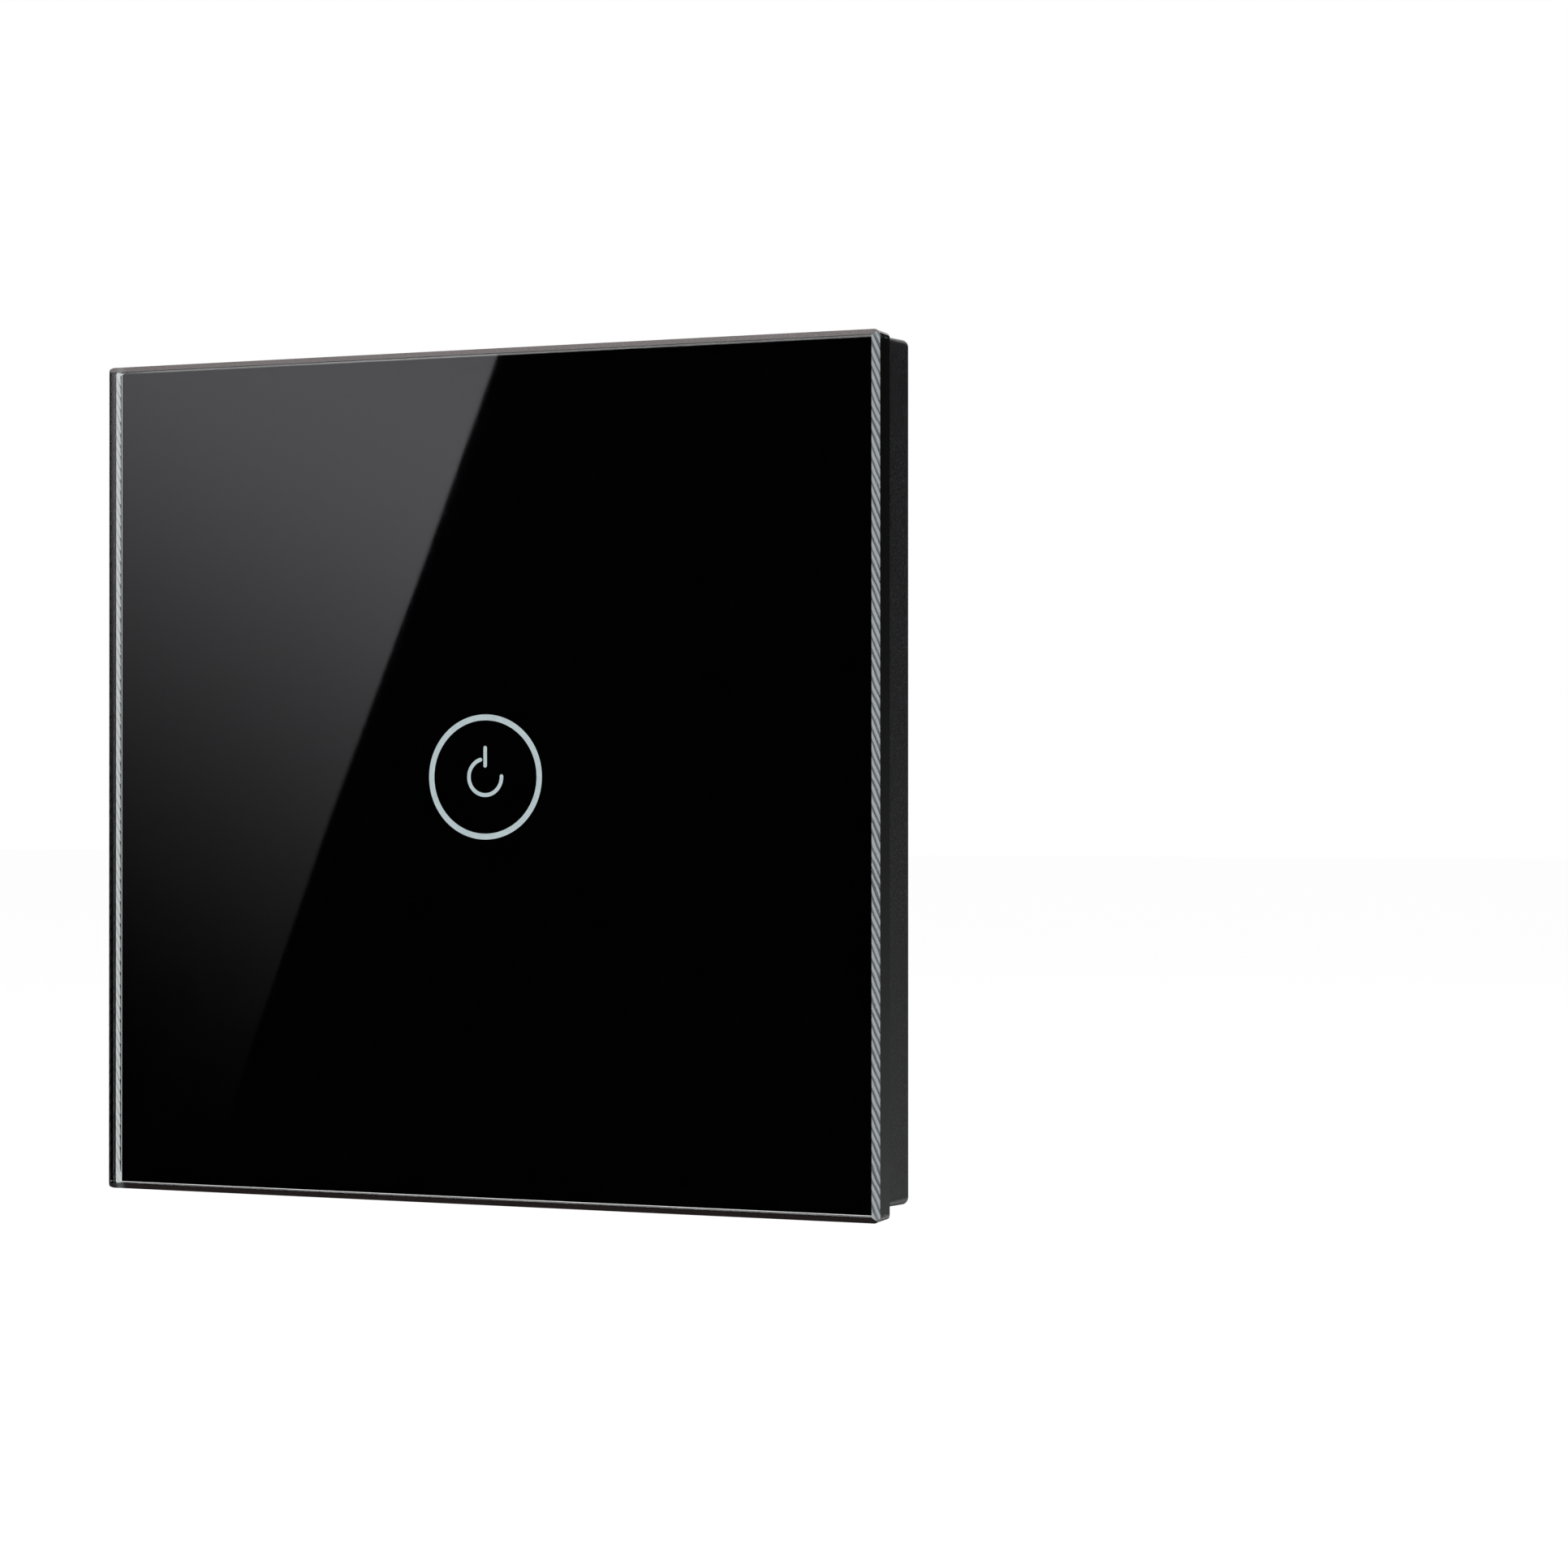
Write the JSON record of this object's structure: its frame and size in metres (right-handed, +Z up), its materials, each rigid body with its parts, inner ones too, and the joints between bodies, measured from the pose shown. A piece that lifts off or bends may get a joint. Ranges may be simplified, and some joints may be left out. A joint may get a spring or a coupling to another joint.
{
  "type": "touch light switch",
  "caption": "Square glass-fronted touch light switch with a ringed power mark, a clip-on panel, a mounting plate and a vented round rear housing with screw terminals.",
  "frame": {"origin": "centre of the mounting plate's back face, on the wall plane and midway between the wall screws", "axes": "+Z up, -Y out of the wall through the glass, +X to the right as seen from the front"},
  "size_m": [0.08, 0.0318, 0.08],
  "materials": {
    "panel_glass": "clear float glass, polished face and ground edges",
    "back_print": "opaque black print on the back of the glass",
    "lit_window": "translucent white print",
    "adhesive_foam": "black acrylic foam tape",
    "carrier_plastic": "black moulded plastic, fine satin texture",
    "housing_plastic": "black moulded plastic, matt spark texture",
    "terminal_plastic": "smooth black moulded plastic",
    "zinc_steel": "bright zinc plate",
    "spring_steel": "rolled spring steel",
    "screw_steel": "nickel plate",
    "diffuser_plastic": "milky polycarbonate",
    "tinned_copper": "tinned",
    "tinned_brass": "tinned brass",
    "green_board": "solder mask",
    "tan_board": "paper phenolic board",
    "lamp_resin": "clear resin",
    "chip_epoxy": "black epoxy",
    "relay_plastic": "blue moulded plastic",
    "copper_wire": "enamelled copper wire",
    "yellow_case": "moulded case",
    "can_sleeve": "shrink sleeve",
    "blue_coating": "dipped epoxy coating",
    "fuse_glass": "ceramic tube with plated ends",
    "ferrite": "sintered ferrite"
  },
  "bodies": {
    "module": {"mounting_plate": "zinc_steel", "panel_clips": "spring_steel", "clip_rivets": "zinc_steel", "front_shell": "housing_plastic", "light_diffuser": "diffuser_plastic", "touch_electrode": "tinned_copper", "touch_board": "green_board", "indicator_lamps": "lamp_resin", "touch_chip": "chip_epoxy", "link_header": "chip_epoxy", "link_socket": "chip_epoxy", "rear_housing": "housing_plastic", "housing_screws": "screw_steel", "power_board": "tan_board", "bus_bars": "tinned_brass", "terminal_block": "terminal_plastic", "relay_case": "relay_plastic", "relay_base": "relay_plastic", "relay_core": "screw_steel", "relay_bobbin": "terminal_plastic", "relay_winding": "copper_wire", "relay_yoke": "screw_steel", "relay_fixed_contact": "tinned_brass", "film_capacitor": "yellow_case", "reservoir_capacitor": "can_sleeve", "bridge_rectifier": "chip_epoxy", "varistor": "blue_coating", "board_fuse": "fuse_glass", "choke_core": "ferrite", "choke_winding": "copper_wire", "driver_transistor": "chip_epoxy"},
    "panel": {"glass_panel": "panel_glass", "black_print": "back_print", "light_ring": "lit_window", "power_icon": "lit_window", "panel_tape": "adhesive_foam", "panel_carrier": "carrier_plastic"},
    "armature": {"relay_armature": "screw_steel", "relay_moving_contact": "tinned_brass"},
    "screw_1": {"terminal_screw_1": "screw_steel"},
    "cage_1": {"terminal_cage_1": "zinc_steel"},
    "screw_2": {"terminal_screw_2": "screw_steel"},
    "cage_2": {"terminal_cage_2": "zinc_steel"},
    "screw_3": {"terminal_screw_3": "screw_steel"},
    "cage_3": {"terminal_cage_3": "zinc_steel"}
  },
  "joints": [
    {"name": "panel_pull", "type": "slide", "parent": "module", "child": "panel", "axis": [0, -1, 0], "range_m": [0, 0.012], "deforming": ["panel_clips"]},
    {"name": "armature_pull", "type": "hinge", "parent": "module", "child": "armature", "pos_m": [-0.01712, 0.0073, -0.00315], "axis": [0, 0, 1], "range_deg": [0, 3], "stiffness_Nm_per_rad": 0.02, "springref_deg": -2.86},
    {"name": "terminal_turn_1", "type": "hinge", "parent": "module", "child": "screw_1", "pos_m": [-0.00762, 0.0142, 0.0167], "axis": [0, -1, 0], "range_deg": [0, 2160]},
    {"name": "cage_rise_1", "type": "slide", "parent": "module", "child": "cage_1", "axis": [0, 1, 0], "range_m": [0, 0.003]},
    {"name": "terminal_turn_2", "type": "hinge", "parent": "module", "child": "screw_2", "pos_m": [0, 0.0142, 0.0167], "axis": [0, -1, 0], "range_deg": [0, 2160]},
    {"name": "cage_rise_2", "type": "slide", "parent": "module", "child": "cage_2", "axis": [0, 1, 0], "range_m": [0, 0.003]},
    {"name": "terminal_turn_3", "type": "hinge", "parent": "module", "child": "screw_3", "pos_m": [0.00762, 0.0142, 0.0167], "axis": [0, -1, 0], "range_deg": [0, 2160]},
    {"name": "cage_rise_3", "type": "slide", "parent": "module", "child": "cage_3", "axis": [0, 1, 0], "range_m": [0, 0.003]}
  ],
  "couplings": [
    {"joint": "terminal_turn_1", "follows": "cage_rise_1", "rad_per_m": 12566},
    {"joint": "terminal_turn_2", "follows": "cage_rise_2", "rad_per_m": 12566},
    {"joint": "terminal_turn_3", "follows": "cage_rise_3", "rad_per_m": 12566}
  ]
}
